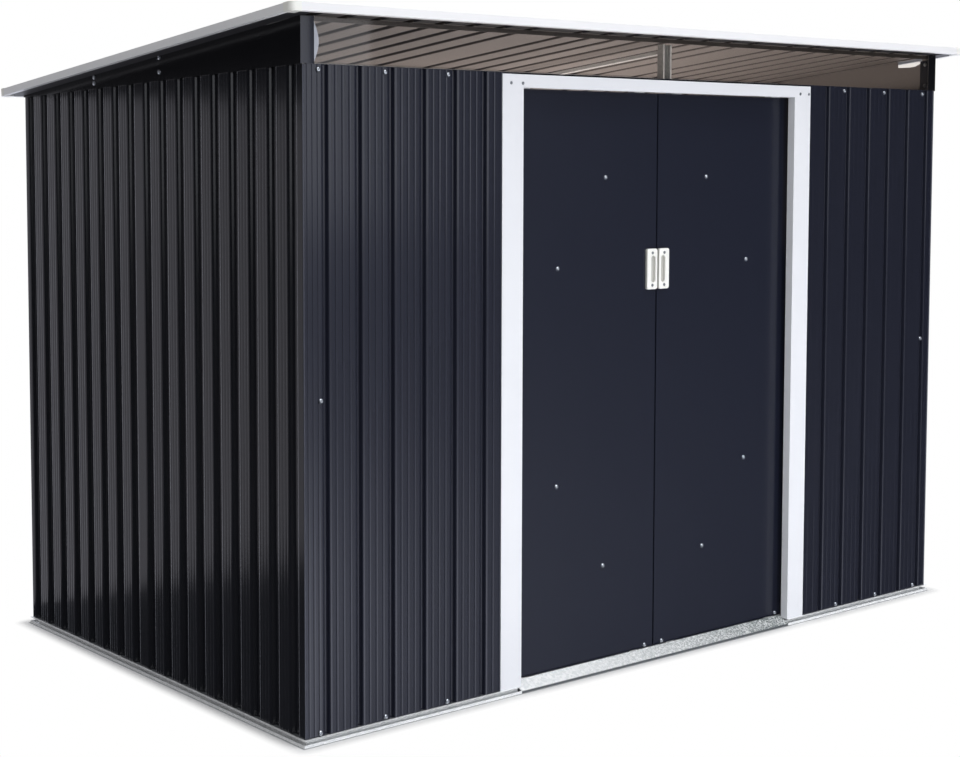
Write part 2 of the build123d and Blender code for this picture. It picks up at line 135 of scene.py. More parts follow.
def past_plan(tree, place, half_x, half_y):
    """Distance in x and y, as a vector, by which a place lies past a rectangle about the walls' centre."""
    centre = (0, middle_y, 0)
    half = (half_x, half_y, 0)
    centred = add_node(tree, "VectorMath", {0: place.outputs["Object"], 1: centre}, operation="SUBTRACT")
    spread = add_node(tree, "VectorMath", {0: centred.outputs["Vector"]}, operation="ABSOLUTE")
    return add_node(tree, "VectorMath", {0: spread.outputs["Vector"], 1: half}, operation="SUBTRACT")


rail_zinc = galvanised("galvanised_steel_rail", rail_spangle, "#f4f5f5", "#d4d8d9", 0.3, 0.46, 0.15)
rail_tree = rail_zinc.node_tree
rail_place = add_node(rail_tree, "TexCoord")
rail_spot = add_node(rail_tree, "SeparateXYZ", {"Vector": rail_place.outputs["Object"]})
rail_past = past_plan(rail_tree, rail_place, right_x + recess_reach, back_y - middle_y + recess_reach)
rail_apart = add_node(rail_tree, "SeparateXYZ", {"Vector": rail_past.outputs["Vector"]})
rail_reach = add_node(
    rail_tree, "Math", {0: rail_apart.outputs["X"], 1: rail_apart.outputs["Y"]}, operation="MAXIMUM"
)
rail_recess = add_node(rail_tree, "Math", {0: rail_reach.outputs[0], 1: 0}, operation="LESS_THAN")
rail_shade = add_node(
    rail_tree, "MapRange",
    {"Value": rail_spot.outputs["Z"], "From Min": recess_low, "From Max": recess_high},
)
# Painted shade: darker inside the walls' faces, growing towards the top of the recess.
rail_shade_share = add_node(
    rail_tree, "Math", {0: rail_recess.outputs[0], 1: rail_shade.outputs[0]}, operation="MULTIPLY"
)
overlay(rail_zinc, rail_shade_share.outputs[0], rail_painted_shade)
dress(
    rail_zinc,
    "base_rail_front_left", "base_rail_front_right", "base_rail_left", "base_rail_right", "base_rail_back",
)

# Door threshold: a wider strip of the same galvanised steel, folded into a low ramp between the jambs.
# Its crystals stand out on the broad face, which is painted greyer in specks towards the right: the specks
# are the zinc's own mottle, and the fall towards the right is painted shade.
# Its front edge is painted dark along the ground as painted shade.
sill_low, sill_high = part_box("door_threshold")
sill_spangle = 0.007
sill_speck = 0.005
sill_gauge = 0.0012
sill_foot = 0.0002
sill_nose = 0.0065
nose_round = 0.0012
nose_fall = 0.0015
sill_crest = 0.0252
sill_front = front_y - 0.004
sill_crest_y = front_y + 0.0304
sill_back = sill_high.y - sill_gauge
edge_shade_height = 0.004
sill_edge_painted_shade = "#54585b"
sill_patina_and_shade = "#616a6a"
sill_shade_start = -0.4
sill_shade_end = 0.45


def new_piece(name, mesh_data, material, body):
    """Finishes a bmesh as an object that rides on a body."""
    mesh = bpy.data.meshes.new(name)
    mesh_data.to_mesh(mesh)
    mesh_data.free()
    mesh.materials.append(material)
    piece = bpy.data.objects.new(name, mesh)
    bpy.context.scene.collection.objects.link(piece)
    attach(piece, body)
    return piece


def folded_strip(form, line, sweep, thickness):
    """Adds a strip of sheet that is folded along a line of points and drawn out along a sweep."""
    start = [form.verts.new(point) for point in line]
    edges = [form.edges.new(pair) for pair in zip(start, start[1:])]
    drawn = bmesh.ops.extrude_edge_only(form, edges=edges)["geom"]
    ends = [item for item in drawn if isinstance(item, bmesh.types.BMVert)]
    walls = [item for item in drawn if isinstance(item, bmesh.types.BMFace)]
    bmesh.ops.translate(form, vec=sweep, verts=ends)
    bmesh.ops.solidify(form, geom=walls, thickness=thickness)
    bmesh.ops.recalc_face_normals(form, faces=form.faces)


sill_zinc = galvanised("galvanised_steel_sill", sill_spangle, "#fdfefe", "#c0c8c8", 0.3, 0.46, 0.04)
sill_tree = sill_zinc.node_tree
sill_place = add_node(sill_tree, "TexCoord")
sill_spot = add_node(sill_tree, "SeparateXYZ", {"Vector": sill_place.outputs["Object"]})
# Painted shade: a greyer tone that grows towards the right, broken into specks of the zinc's mottle.
sill_dull = add_node(
    sill_tree, "MapRange",
    {"Value": sill_spot.outputs["X"], "From Min": sill_shade_start, "From Max": sill_shade_end},
)
sill_grain = add_node(
    sill_tree, "TexNoise", {"Vector": sill_place.outputs["Object"], "Scale": 1 / sill_speck, "Detail": 2}
)
sill_specks = add_node(
    sill_tree, "MapRange",
    {"Value": sill_grain.outputs["Fac"], "From Min": 0.38, "From Max": 0.6, "To Min": 0.2, "To Max": 1},
)
sill_speckled_shade = add_node(
    sill_tree, "Math", {0: sill_dull.outputs[0], 1: sill_specks.outputs[0]}, operation="MULTIPLY"
)
overlay(sill_zinc, sill_speckled_shade.outputs[0], sill_patina_and_shade)
# Painted shade along the foot of the front edge.
sill_edge = add_node(
    sill_tree, "MapRange",
    {
        "Value": sill_spot.outputs["Z"], "From Min": edge_shade_height, "From Max": sill_nose,
        "To Min": 1, "To Max": 0,
    },
)
overlay(sill_zinc, sill_edge.outputs[0], sill_edge_painted_shade)
sill = bmesh.new()
sill_profile = (
    (sill_front, sill_foot), (sill_front, sill_nose - nose_fall), (sill_front + nose_round, sill_nose),
    (sill_crest_y, sill_crest), (sill_crest_y, wall_low.z), (sill_back, wall_low.z), (sill_back, sill_foot),
)
sill_line = [(sill_low.x, y, z) for y, z in sill_profile]
folded_strip(sill, sill_line, (sill_high.x - sill_low.x, 0, 0), sill_gauge)
sill_piece = new_piece("door_threshold_folded", sill, sill_zinc, "shed")
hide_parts("door_threshold")

# Inner frame: posts, top rails, door track, purlins, hangers and braces, roll-formed from galvanised strip.
# They are bolted together behind the sheets.
# The strip is thin and skin-passed, so its crystals are small and its gloss is even.
frame_spangle = 0.006
frame_zinc = galvanised("galvanised_steel_frame", frame_spangle, "#dfe1e1", "#b8bcbd", 0.3, 0.42, 0.5)
dress(
    frame_zinc,
    "corner_post_front_left", "corner_post_front_right", "corner_post_back_left", "corner_post_back_right",
    "back_top_rail", "left_top_rail", "right_top_rail", "door_track", "roof_purlins",
    "left_door_hangers", "right_door_hangers", "left_door_braces", "right_door_braces",
)

# Wall sheets: thin coil-coated steel, roll-formed with grooves and pinstripe swages, screwed to the rails.
# The outer face has a charcoal polyester coat with a hard gloss, the inner one a grey-brown backing coat.
# These pieces stand in for the CAD's sheets, with the soft radii of thin steel at bends and shoulders.
wall_foot = wall_low.z
front_top = wall_high.z
back_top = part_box("back_wall_1")[1].z
side_drop = 0.042
side_fall = side_drop / (back_y - front_y)
gauge = 0.0005
groove_depth = 0.0105
groove_slope = 0.004
swage_width = 0.006
bend_reach = 0.002
bend_share = 0.45
bend_steps = 3
crease_angle = 40
broad_face = 0.01
corner_fall = 0.002
front_pitch = 0.096
front_mouth = 0.015
front_swage = 0.0004
front_shoulder = 0.005
front_shoulder_fall = 0.0009
front_roll = (front_mouth, front_swage, front_shoulder, front_shoulder_fall)
front_left_first = 0.065
front_right_first = 0.041
front_count = 6
back_count = 8
side_pitch = 0.085
side_mouth = 0.031
side_swage = 0.0005
side_shoulder = 0.006
side_shoulder_fall = 0.0019
side_roll = (side_mouth, side_swage, side_shoulder, side_shoulder_fall)
side_first = 0.0445
side_count = 17
side_front_count = 9
backing_grey = "#8d8682"
backing_dark = "#7b7470"
inner_limit = -0.05
oil_can = 0.22
peel = 0.004


def coil_coat(name, outward, charcoal, charcoal_worn):
    """Coil-coated sheet: a gloss with slow waves of thin steel, and a matt backing on the inner face."""
    material, tree, shader, place = new_material(name)
    facing = add_node(tree, "VectorMath", {0: place.outputs["Normal"], 1: outward}, operation="DOT_PRODUCT")
    inner = add_node(tree, "Math", {0: facing.outputs["Value"], 1: inner_limit}, operation="LESS_THAN")
    stretched = add_node(tree, "Mapping", {"Vector": place.outputs["Object"], "Scale": (1, 1, 0.3)})
    wave = add_node(tree, "TexNoise", {"Vector": stretched.outputs[0], "Scale": 1 / oil_can, "Detail": 2})
    grain = add_node(tree, "TexNoise", {"Vector": place.outputs["Object"], "Scale": 1 / peel, "Detail": 3})
    coat = add_node(
        tree, "Mix",
        {"Factor": wave.outputs["Fac"], 6: linear(charcoal), 7: linear(charcoal_worn)}, data_type="RGBA",
    )
    back = add_node(
        tree, "Mix",
        {"Factor": grain.outputs["Fac"], 6: linear(backing_grey), 7: linear(backing_dark)}, data_type="RGBA",
    )
    colour = add_node(
        tree, "Mix", {"Factor": inner.outputs[0], 6: coat.outputs[2], 7: back.outputs[2]}, data_type="RGBA"
    )
    gloss = add_node(tree, "MapRange", {"Value": grain.outputs["Fac"], "To Min": 0.14, "To Max": 0.22})
    finish = add_node(tree, "Mix", {"Factor": inner.outputs[0], 2: gloss.outputs[0], 3: 0.6})
    waves = add_node(tree, "Bump", {"Height": wave.outputs["Fac"], "Strength": 0.35, "Distance": 0.004})
    relief = add_node(
        tree, "Bump",
        {"Height": grain.outputs["Fac"], "Strength": 0.08, "Distance": 0.0003, "Normal": waves.outputs[0]},
    )
    set_inputs(tree, shader, {
        "Base Color": colour.outputs[2],
        "Roughness": finish.outputs[0],
        "IOR": 1.5,
        "Normal": relief.outputs[0],
    })
    return material


def section(start, end, grooves, mouth, swage_depth, shoulder, shoulder_fall):
    """Line of a sheet as (along, depth): flats with three swages, and grooves with soft shoulders."""
    line = [(start, 0)]
    stops = [start] + grooves + [end]
    half = mouth / 2
    floor_half = half - groove_slope
    for near, far in zip(stops, stops[1:]):
        flat_start = near if near == start else near + half
        flat_end = far if far == end else far - half
        gap = (flat_end - flat_start) / 4
        if gap > swage_width + shoulder / 2:
            for place in (flat_start + gap, flat_start + 2 * gap, flat_start + 3 * gap):
                line += [(place - swage_width / 2, 0), (place, swage_depth), (place + swage_width / 2, 0)]
        if far != end:
            line += [(far - half - shoulder, 0), (far - half, shoulder_fall)]
            line += [(far - floor_half, groove_depth), (far + floor_half, groove_depth)]
            line += [(far + half, shoulder_fall), (far + half + shoulder, 0)]
    return line + [(end, 0)]


def bent(line):
    """The same line with its corners rounded."""
    made = [Vector(line[0])]
    for before, corner, after in zip(line, line[1:], line[2:]):
        corner = Vector(corner)
        back, ahead = Vector(before) - corner, Vector(after) - corner
        reach = min(bend_reach, bend_share * back.length, bend_share * ahead.length)
        back, ahead = back.normalized() * reach, ahead.normalized() * reach
        for step in range(bend_steps + 1):
            share = step / bend_steps
            made.append(corner + back * (1 - share) ** 2 + ahead * share ** 2)
    return made + [Vector(line[-1])]


def crease(form, angle):
    """Keeps edges that turn by more than an angle sharp where their faces are smooth."""
    for edge in form.edges:
        edge.smooth = edge.calc_face_angle(pi) < radians(angle)


def rolled_sheet(node, face, inward, grooves, roll, fall, material, corner=None):
    """Rolled sheet in a CAD sheet's place: its top falls along the wall, and a corner's flat leans back."""
    low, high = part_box(node)
    axis = 1 if inward[0] else 0
    start, end = low[axis], high[axis]
    form = bmesh.new()
    stations = []
    for along, depth in bent(section(start, end, grooves, *roll)):
        if corner is not None:
            edge_flat = min(abs(groove - corner) for groove in grooves) - roll[0] / 2
            depth += corner_fall * max(0, 1 - abs(along - corner) / edge_flat)
        top = high.z - fall * (along - start)
        ring = []
        for behind, z in ((0, low.z), (gauge, low.z), (gauge, top), (0, top)):
            place = Vector((0, 0, z))
            place[axis] = along
            place[1 - axis] = face + inward[1 - axis] * (depth + behind)
            ring.append(form.verts.new(place))
        stations.append(ring)
    for near, far in zip(stations, stations[1:]):
        for index in range(4):
            after = (index + 1) % 4
            form.faces.new((near[index], near[after], far[after], far[index]))
    form.faces.new(stations[0])
    form.faces.new(stations[-1])
    bmesh.ops.recalc_face_normals(form, faces=form.faces)
    crease(form, crease_angle)
    for quad in form.faces:
        narrow = min(edge.calc_length() for edge in quad.edges) < bend_reach
        quad.smooth = narrow and quad.calc_area() < broad_face
    piece = new_piece(f"{node}_rolled", form, material, "shed")
    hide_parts(node)


# The sheets share one charcoal paint: the left and right copies are painted darker and less blue than the
# front and back, as painted shade on the sides away from the lamps.
front_coat = coil_coat("coil_coated_steel_front", (0, -1, 0), "#191b26", "#1e202b")
back_coat = coil_coat("coil_coated_steel_back", (0, 1, 0), "#191c27", "#1e212c")
left_coat = coil_coat("coil_coated_steel_left", (-1, 0, 0), "#131419", "#17181d")
right_coat = coil_coat("coil_coated_steel_right", (1, 0, 0), "#17181e", "#1c1d23")
dress(front_coat, "front_top_rail")
front_left_grooves = [left_x + front_left_first + front_pitch * index for index in range(front_count)]
front_right_grooves = [
    right_x - front_right_first - front_pitch * index for index in reversed(range(front_count))
]
rolled_sheet("front_wall_left", front_y, (0, 1), front_left_grooves, front_roll, 0, front_coat, left_x)
rolled_sheet("front_wall_right", front_y, (0, 1), front_right_grooves, front_roll, 0, front_coat, right_x)
side_grooves = [front_y + side_first + side_pitch * index for index in range(side_count)]
side_walls = (("left", left_x, (1, 0), left_coat), ("right", right_x, (-1, 0), right_coat))
for hand, face, inward, coat in side_walls:
    near_grooves, far_grooves = side_grooves[:side_front_count], side_grooves[side_front_count:]
    rolled_sheet(f"{hand}_wall_1", face, inward, near_grooves, side_roll, side_fall, coat)
    rolled_sheet(f"{hand}_wall_2", face, inward, far_grooves, side_roll, side_fall, coat)
for number in (1, 2, 3):
    low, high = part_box(f"back_wall_{number}")
    first = (low.x + high.x) / 2 - (back_count - 1) / 2 * front_pitch
    back_grooves = [first + front_pitch * index for index in range(back_count)]
    rolled_sheet(f"back_wall_{number}", back_y, (0, -1), back_grooves, front_roll, 0, back_coat)

# Corner folds: the edges of the front and back sheets are rolled round the corners, so no raw edge shows.
# Each is a small bead of the same coated steel from the base rail to the top of the wall.
# The bead's coat is painted paler than the sheets as a painted highlight along the corners.
fold_radius = 0.0028
fold_sides = 12
# Painted highlight: the beads' coat is paler than the sheets' coat.
fold_highlight_coat = coil_coat("coil_coated_steel_fold_highlight", (0, -1, 0), "#3c3e48", "#464852")
folds = bmesh.new()
for y, top in ((front_y, front_top), (back_y, back_top)):
    for x in (left_x, right_x):
        inward = Vector((1 if x < 0 else -1, 1 if y < 0 else -1, 0)) * fold_radius
        made = bmesh.ops.create_cone(
            folds, cap_ends=True, segments=fold_sides, radius1=fold_radius, radius2=fold_radius,
            depth=top - wall_foot,
        )
        middle = Vector((x, y, (top + wall_foot) / 2)) + inward
        bmesh.ops.translate(folds, vec=middle, verts=made["verts"])
new_piece("corner_folds", folds, fold_highlight_coat, "shed")

# Wall screws: zinc-plated pan-head tapping screws through the sheets into the rails and posts.
# A bright rounded head with a small driver recess shows on every second flat.
screw_radius = 0.0062
screw_height = 0.0036
screw_sides = 12
screw_beside_groove = 0.021
screw_rows = (wall_foot + 0.0085, front_top - 0.012)
post_screw_inset = 0.048
post_screw_height = 0.8175
plating_cloud = 0.002
plating_grey = "#bfc4c9"


def zinc_plate(name, colour, smooth, rough):
    """Plated steel: a metal with small changes of gloss from the plating bath."""
    material, tree, shader, place = new_material(name)
    cloud = add_node(
        tree, "TexNoise", {"Vector": place.outputs["Object"], "Scale": 1 / plating_cloud, "Detail": 2}
    )
    gloss = add_node(tree, "MapRange", {"Value": cloud.outputs["Fac"], "To Min": smooth, "To Max": rough})
    tint = add_node(
        tree, "Mix",
        {"Factor": cloud.outputs["Fac"], 6: linear(colour), 7: linear(plating_grey)}, data_type="RGBA",
    )
    set_inputs(
        tree, shader, {"Base Color": tint.outputs[2], "Metallic": 1, "Roughness": gloss.outputs[0]}
    )
    return material


def turned(profile, sides):
    """Mesh of a part turned about +Z from a profile of (radius, height) points that ends on the axis."""
    form = bmesh.new()
    points = [form.verts.new((radius, 0, height)) for radius, height in profile]
    edges = [form.edges.new(pair) for pair in zip(points, points[1:])]
    bmesh.ops.spin(
        form, geom=points + edges, axis=(0, 0, 1), cent=(0, 0, 0), angle=2 * pi, steps=sides, use_merge=True
    )
    bmesh.ops.remove_doubles(form, verts=form.verts, dist=1e-6)
    bmesh.ops.recalc_face_normals(form, faces=form.faces)
    for face in form.faces:
        face.smooth = True
    mesh = bpy.data.meshes.new("turned")
    form.to_mesh(mesh)
    form.free()
    return mesh


def set_at(form, pattern, place, outward):
    """Adds a copy of a turned part with its base at a place and its axis pointing outward."""
    known = set(form.verts)
    form.from_mesh(pattern)
    turn = Vector(outward).to_track_quat("Z", "Y").to_matrix().to_4x4()
    fresh = [vert for vert in form.verts if vert not in known]
    bmesh.ops.transform(form, matrix=Matrix.Translation(place) @ turn, verts=fresh)


screw_zinc = zinc_plate("zinc_plated_steel", "#eceff2", 0.2, 0.34)
pan_shares = ((1, 0), (1, 0.4), (0.82, 0.85), (0.5, 1), (0.3, 1), (0.22, 0.5), (0, 0.45))
pan_head = turned([(screw_radius * wide, screw_height * tall) for wide, tall in pan_shares], screw_sides)
front_screws = bmesh.new()
for index in range(front_count // 2):
    run = 2 * front_pitch * index
    left_place = left_x + front_left_first + run - screw_beside_groove
    right_place = right_x - front_right_first - run - screw_beside_groove
    for x in (left_place, right_place):
        for z in screw_rows:
            set_at(front_screws, pan_head, (x, front_y, z), (0, -1, 0))
for x in (left_x + post_screw_inset, right_x - post_screw_inset):
    set_at(front_screws, pan_head, (x, front_y, post_screw_height), (0, -1, 0))
new_piece("front_wall_screws", front_screws, screw_zinc, "shed")

# Door frame: jambs and header folded from steel strip with a white powder coat, screwed over the sheets.
# The baked polyester has a satin gloss and a very fine orange peel.
coat_peel = 0.003
coat_cloud = 0.25


def powder_coat(name, colour, shade):
    """Powder-coated steel: satin, with dimples of the baked powder and slow changes of tone."""
    material, tree, shader, place = new_material(name)
    cloud = add_node(
        tree, "TexNoise", {"Vector": place.outputs["Object"], "Scale": 1 / coat_cloud, "Detail": 2}
    )
    dimple = add_node(
        tree, "TexNoise", {"Vector": place.outputs["Object"], "Scale": 1 / coat_peel, "Detail": 2}
    )
    tone = add_node(
        tree, "Mix", {"Factor": cloud.outputs["Fac"], 6: linear(colour), 7: linear(shade)}, data_type="RGBA"
    )
    gloss = add_node(tree, "MapRange", {"Value": dimple.outputs["Fac"], "To Min": 0.32, "To Max": 0.46})
    relief = add_node(tree, "Bump", {"Height": dimple.outputs["Fac"], "Strength": 0.12, "Distance": 0.0003})
    set_inputs(tree, shader, {
        "Base Color": tone.outputs[2],
        "Roughness": gloss.outputs[0],
        "IOR": 1.5,
        "Normal": relief.outputs[0],
    })
    return material


white_coat = powder_coat("powder_coated_steel_white", "#e6e7eb", "#e0e2e7")
dress(white_coat, "door_jamb_left", "door_jamb_right", "door_header")

# Frame screws: small blackened countersunk screws that hold the header's ends on the jambs.
# Their flat heads lie almost flush with the white coat and show as dark dots.
flat_radius = 0.0042
flat_height = 0.0012
flat_sides = 10
frame_screw_z = 1.5745
frame_screw_places = (-0.5665, -0.5275, 0.5495, 0.5875)
screw_black = zinc_plate("blackened_steel", "#3a3b3f", 0.3, 0.45)
flat_shares = ((1, 0), (1, 0.6), (0.85, 1), (0.4, 1), (0.3, 0.3), (0, 0.3))
flat_head = turned([(flat_radius * wide, flat_height * tall) for wide, tall in flat_shares], flat_sides)
header_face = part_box("door_header")[0].y
frame_screws = bmesh.new()
for x in frame_screw_places:
    set_at(frame_screws, flat_head, (x, header_face, frame_screw_z), (0, -1, 0))
new_piece("door_frame_screws", frame_screws, screw_black, "shed")

# Sliding doors: shallow trays of the same coated steel with a flat face, stiffened by braces behind.
# The flat face has a softer gloss than the walls, with faint upright roller marks.
roller_mark = 0.005
door_wave = 0.3
door_charcoal = "#171a27"
door_charcoal_worn = "#1b1e2b"
leaf_coat, leaf_tree, leaf_shader, leaf_place = new_material("coil_coated_steel_door")
leaf_facing = add_node(
    leaf_tree, "VectorMath", {0: leaf_place.outputs["Normal"], 1: (0, -1, 0)}, operation="DOT_PRODUCT"
)
leaf_inner = add_node(
    leaf_tree, "Math", {0: leaf_facing.outputs["Value"], 1: inner_limit}, operation="LESS_THAN"
)
leaf_drawn = add_node(leaf_tree, "Mapping", {"Vector": leaf_place.outputs["Object"], "Scale": (1, 1, 0.02)})
leaf_marks = add_node(
    leaf_tree, "TexNoise", {"Vector": leaf_drawn.outputs[0], "Scale": 1 / roller_mark, "Detail": 3}
)
leaf_wave = add_node(
    leaf_tree, "TexNoise", {"Vector": leaf_place.outputs["Object"], "Scale": 1 / door_wave, "Detail": 2}
)
leaf_paint = add_node(
    leaf_tree, "Mix",
    {"Factor": leaf_marks.outputs["Fac"], 6: linear(door_charcoal), 7: linear(door_charcoal_worn)},
    data_type="RGBA",
)
leaf_colour = add_node(
    leaf_tree, "Mix",
    {"Factor": leaf_inner.outputs[0], 6: leaf_paint.outputs[2], 7: linear(backing_grey)}, data_type="RGBA",
)
leaf_gloss = add_node(
    leaf_tree, "MapRange", {"Value": leaf_marks.outputs["Fac"], "To Min": 0.17, "To Max": 0.25}
)
leaf_waves = add_node(
    leaf_tree, "Bump", {"Height": leaf_wave.outputs["Fac"], "Strength": 0.2, "Distance": 0.004}
)
leaf_relief = add_node(
    leaf_tree, "Bump",
    {
        "Height": leaf_marks.outputs["Fac"], "Strength": 0.06, "Distance": 0.0004,
        "Normal": leaf_waves.outputs[0],
    },
)
set_inputs(leaf_tree, leaf_shader, {
    "Base Color": leaf_colour.outputs[2],
    "Roughness": leaf_gloss.outputs[0],
    "IOR": 1.5,
    "Normal": leaf_relief.outputs[0],
})
dress(leaf_coat, "left_door", "right_door")

# Door bolts: zinc-plated mushroom-head bolts that hold the braces behind the doors.
# Two pan-head screws at the foot of each door hold its bottom guides.
bolt_radius = 0.0065
bolt_height = 0.004
bolt_sides = 12
brace_bolts = ((0.196, 1.334), (0.196, 0.279), (0.368, 1.095), (0.368, 0.516))
guide_bolts = ((0.034, 0.031), (0.515, 0.031))
dome_angles = (0, pi / 8, pi / 4, 3 * pi / 8)
dome = [(bolt_radius * cos(angle), bolt_height * sin(angle)) for angle in dome_angles]
mushroom_head = turned(dome + [(0, bolt_height)], bolt_sides)
door_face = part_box("left_door")[0].y
for hand, turn in (("left", -1), ("right", 1)):
    bolts = bmesh.new()
    for x, z in brace_bolts:
        set_at(bolts, mushroom_head, (turn * x, door_face, z), (0, -1, 0))
    for x, z in guide_bolts:
        set_at(bolts, pan_head, (turn * x, door_face, z), (0, -1, 0))
    new_piece(f"{hand}_door_bolts", bolts, screw_zinc, f"{hand}_leaf")

# Door handles, track glides and roof corner caps: injection-moulded white polypropylene, screwed on.
# The plastic has a soft gloss and a faint spark texture, and the handles' finger scoops are painted greyer
# with depth as painted shade.
spark = 0.0015
plastic_cloud = 0.05
scoop_shade = "#bdbcb6"
scoop_mouth = door_face - 0.0068
scoop_floor = door_face - 0.003
handle_corner_steps = 6
handle_crease_angle = 50
handle_broad_face = 0.0001
handle_screw_offset = 0.0445
# Half width, half height, corner radius, rise from the door and shift to the seam, from foot to scoop.
handle_rings = (
    (0.0195, 0.056, 0.006, 0, 0),
    (0.0195, 0.056, 0.006, 0.006, 0),
    (0.0191, 0.0556, 0.0056, 0.0076, 0),
    (0.0177, 0.0542, 0.0046, 0.0082, 0),
    (0.0088, 0.0378, 0.0086, 0.0082, 0.004),
    (0.0082, 0.0372, 0.0081, 0.0074, 0.004),
    (0.0078, 0.0368, 0.0077, 0.002, 0.004),
    (0.0056, 0.0346, 0.0055, 0.0008, 0.004),
)
handle_half_width = handle_rings[0][0]
handle_top = handle_rings[3][3]


def moulded(name, colour, shade, smooth, rough):
    """Moulded plastic: slow changes of tone, with the spark texture of the mould in its gloss."""
    material, tree, shader, place = new_material(name)
    grain = add_node(tree, "TexNoise", {"Vector": place.outputs["Object"], "Scale": 1 / spark, "Detail": 2})
    cloud = add_node(
        tree, "TexNoise", {"Vector": place.outputs["Object"], "Scale": 1 / plastic_cloud, "Detail": 2}
    )
    tone = add_node(
        tree, "Mix", {"Factor": cloud.outputs["Fac"], 6: linear(colour), 7: linear(shade)}, data_type="RGBA"
    )
    gloss = add_node(tree, "MapRange", {"Value": grain.outputs["Fac"], "To Min": smooth, "To Max": rough})
    relief = add_node(tree, "Bump", {"Height": grain.outputs["Fac"], "Strength": 0.15, "Distance": 0.0002})
    set_inputs(tree, shader, {
        "Base Color": tone.outputs[2],
        "Roughness": gloss.outputs[0],
        "IOR": 1.49,
        "Normal": relief.outputs[0],
    })
    return material


def rounded_ring(form, centre, toward, half_width, half_height, radius, rise, shift):
    """Ring of vertices on a round-cornered rectangle facing the front, raised and shifted from a centre."""
    ring = []
    for quarter in range(4):
        side_x = 1 if quarter in (0, 3) else -1
        side_z = 1 if quarter in (0, 1) else -1
        for step in range(handle_corner_steps + 1):
            angle = pi / 2 * (quarter + step / handle_corner_steps)
            x = side_x * (half_width - radius) + radius * cos(angle) + toward * shift
            z = side_z * (half_height - radius) + radius * sin(angle)
            ring.append(form.verts.new(centre + Vector((x, -rise, z))))
    return ring


cap_plastic = moulded("moulded_polypropylene_white", "#f1f1ec", "#e9e9e4", 0.3, 0.45)
dress(cap_plastic, "left_door_glides", "right_door_glides", "roof_corner_caps")
grip_plastic = moulded("moulded_polypropylene_grip", "#f6f6f2", "#efefea", 0.3, 0.45)
grip_tree = grip_plastic.node_tree
grip_place = add_node(grip_tree, "TexCoord")
grip_spot = add_node(grip_tree, "SeparateXYZ", {"Vector": grip_place.outputs["Object"]})
# Painted shade: greyer deeper in the scoop.
grip_depth = add_node(
    grip_tree, "MapRange", {"Value": grip_spot.outputs["Y"], "From Min": scoop_mouth, "From Max": scoop_floor}
)
overlay(grip_plastic, grip_depth.outputs[0], scoop_shade)
for hand, toward in (("left", 1), ("right", -1)):
    low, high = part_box(f"{hand}_door_handle")
    seam_edge = high.x if toward > 0 else low.x
    centre = Vector((seam_edge - toward * handle_half_width, high.y, (low.z + high.z) / 2))
    handle = bmesh.new()
    rings = [rounded_ring(handle, centre, toward, *ring) for ring in handle_rings]
    for near, far in zip(rings, rings[1:]):
        for index in range(len(near)):
            handle.faces.new((near[index - 1], near[index], far[index], far[index - 1]))
    handle.faces.new(rings[0])
    handle.faces.new(rings[-1])
    bmesh.ops.recalc_face_normals(handle, faces=handle.faces)
    crease(handle, handle_crease_angle)
    for quad in handle.faces:
        quad.smooth = quad.calc_area() < handle_broad_face
    piece = new_piece(f"{hand}_handle_moulding", handle, grip_plastic, f"{hand}_leaf")
    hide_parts(f"{hand}_door_handle")
    screws = bmesh.new()
    for turn in (-1, 1):
        place = centre + Vector((0, -handle_top, turn * handle_screw_offset))
        set_at(screws, flat_head, place, (0, -1, 0))
    new_piece(f"{hand}_handle_screws", screws, screw_black, f"{hand}_leaf")

# Gables: coated steel plates that stand off the side walls, with a return at the front; their coat is painted
# near-black as painted shade from the roof's overhang.
# They carry the purlins' ends and the side walls' top rails, which are bolted through them.
gable_shaded_charcoal = "#0a0a0d"
gable_shaded_charcoal_worn = "#0d0d10"
gable_bolt_places = ((-0.0598, 1.641), (-0.0598, 1.604), (0.2962, 1.602), (0.2962, 1.586), (0.7262, 1.571))
gable_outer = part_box("gable_right")[1].x
# Painted shade: the gables' charcoal coat is painted near-black.
gable_left_coat = coil_coat("coil_coated_steel_gable_left", (-1, 0, 0), gable_shaded_charcoal, gable_shaded_charcoal_worn)
gable_right_coat = coil_coat("coil_coated_steel_gable_right", (1, 0, 0), gable_shaded_charcoal, gable_shaded_charcoal_worn)
dress(gable_left_coat, "gable_left")
dress(gable_right_coat, "gable_right")
gable_bolts = bmesh.new()
for y, z in gable_bolt_places:
    for turn in (-1, 1):
        set_at(gable_bolts, pan_head, (turn * gable_outer, y, z), (turn, 0, 0))
new_piece("gable_bolts", gable_bolts, screw_zinc, "shed")

# Vent flap: a small plate of the same steel, in the gable's painted near-black shade, that closes the left
# gable's vent from inside.
# The right gable's vent is open and shows daylight.
flap_start = front_y + 0.044
flap_end = front_y + 0.147
flap_foot = 1.668
flap_front_top = 1.7054
flap_back_top = 1.6944
flap_gauge = 0.0008
flap_inset = 0.0012


def plate(form, corners, thickness):
    """Adds a flat plate from its outline."""
    outline = form.faces.new([form.verts.new(corner) for corner in corners])
    outline.normal_update()
    bmesh.ops.solidify(form, geom=[outline], thickness=thickness)
    bmesh.ops.recalc_face_normals(form, faces=form.faces)


flap = bmesh.new()
flap_x = -gable_outer + flap_inset
flap_corners = (
    (flap_start, flap_foot), (flap_end, flap_foot), (flap_end, flap_back_top), (flap_start, flap_front_top)
)
plate(flap, [(flap_x, y, z) for y, z in flap_corners], flap_gauge)
new_piece("gable_left_vent_flap", flap, gable_left_coat, "shed")

